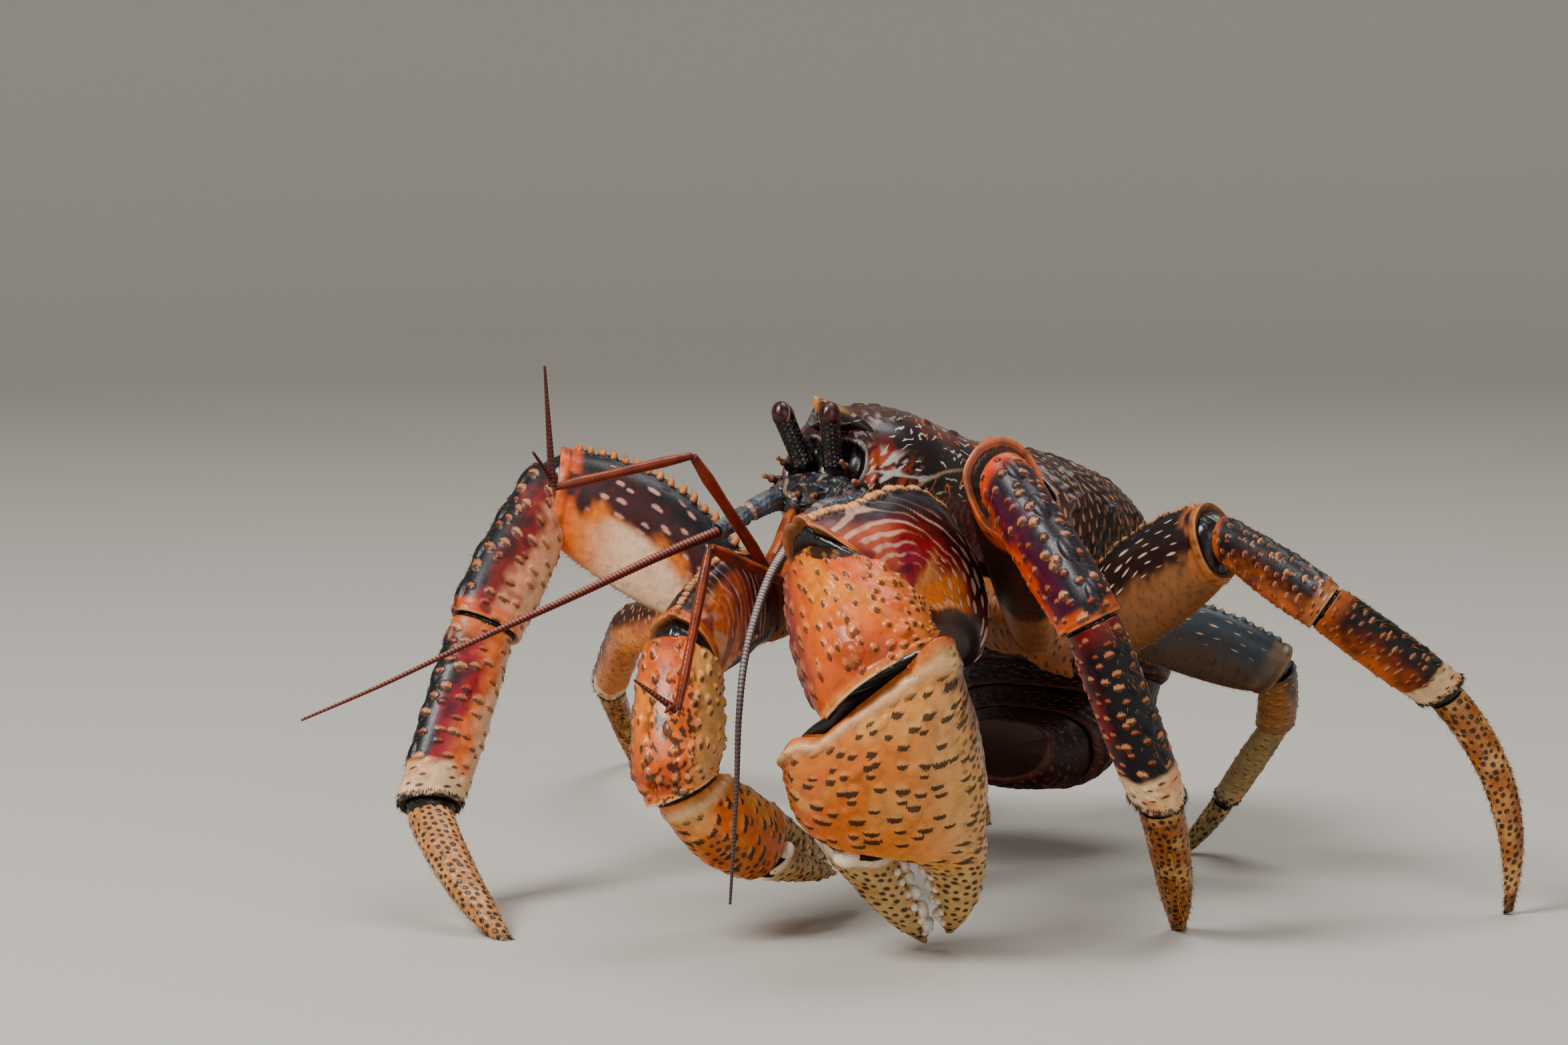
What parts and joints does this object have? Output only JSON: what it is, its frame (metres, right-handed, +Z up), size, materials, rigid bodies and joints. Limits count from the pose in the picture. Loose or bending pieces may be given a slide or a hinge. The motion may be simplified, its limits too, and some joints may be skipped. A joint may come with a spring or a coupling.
{
  "type": "coconut crab",
  "caption": "Life-size coconut crab walking with its large left claw forward, long banded legs, feelers held out and a curled abdomen.",
  "frame": {"origin": "on the floor under the middle of the crab's bounding box", "axes": "+Z up; the crab faces -Y, with its left side towards +X"},
  "size_m": [0.4168, 0.3735, 0.18],
  "materials": {
    "shield_shell": "satin, chitin",
    "carapace_shell": "satin, chitin",
    "underside_shell": "satin, chitin",
    "face_shell": "satin, chitin",
    "cornea": "glossy",
    "feeler_shell": "satin, chitin",
    "claw_shell": "satin, limy chitin",
    "leg_shell": "satin, chitin",
    "toe_shell": "satin, chitin with bristles",
    "abdomen_shell": "leathery"
  },
  "bodies": {
    "root": {"abdomen_plate_1": "abdomen_shell", "abdomen_plate_2": "abdomen_shell", "abdomen_plate_3": "abdomen_shell", "abdomen_plate_4": "abdomen_shell", "abdomen_plate_5": "abdomen_shell", "antenna_left_stem": "face_shell", "antenna_left_whip": "feeler_shell", "antenna_right_stem": "face_shell", "antenna_right_whip": "feeler_shell", "antennule_left_arm": "feeler_shell", "antennule_left_base": "feeler_shell", "antennule_left_forearm": "feeler_shell", "antennule_left_whip": "feeler_shell", "antennule_right_arm": "feeler_shell", "antennule_right_base": "feeler_shell", "antennule_right_forearm": "feeler_shell", "antennule_right_whip": "feeler_shell", "claw_left_carpus": "claw_shell", "claw_left_finger": "claw_shell", "claw_left_merus": "claw_shell", "claw_left_palm": "claw_shell", "claw_right_carpus": "claw_shell", "claw_right_finger": "claw_shell", "claw_right_merus": "claw_shell", "claw_right_palm": "claw_shell", "eye_left": "cornea", "eye_right": "cornea", "eyestalk_left": "face_shell", "eyestalk_right": "face_shell", "face": "face_shell", "leg2_left_carpus": "leg_shell", "leg2_left_dactyl": "toe_shell", "leg2_left_merus": "leg_shell", "leg2_left_propodus": "leg_shell", "leg2_right_carpus": "leg_shell", "leg2_right_dactyl": "toe_shell", "leg2_right_merus": "leg_shell", "leg2_right_propodus": "leg_shell", "leg3_left_carpus": "leg_shell", "leg3_left_dactyl": "toe_shell", "leg3_left_merus": "leg_shell", "leg3_left_propodus": "leg_shell", "leg3_right_carpus": "leg_shell", "leg3_right_dactyl": "toe_shell", "leg3_right_merus": "leg_shell", "leg3_right_propodus": "leg_shell", "leg4_left_carpus": "leg_shell", "leg4_left_dactyl": "toe_shell", "leg4_left_merus": "leg_shell", "leg4_left_propodus": "leg_shell", "leg4_right_carpus": "leg_shell", "leg4_right_dactyl": "toe_shell", "leg4_right_merus": "leg_shell", "leg4_right_propodus": "leg_shell", "maxilliped_left": "underside_shell", "maxilliped_right": "underside_shell", "rear_carapace": "carapace_shell", "shield": "shield_shell", "tail": "abdomen_shell", "thorax": "underside_shell"}
  },
  "joints": []
}
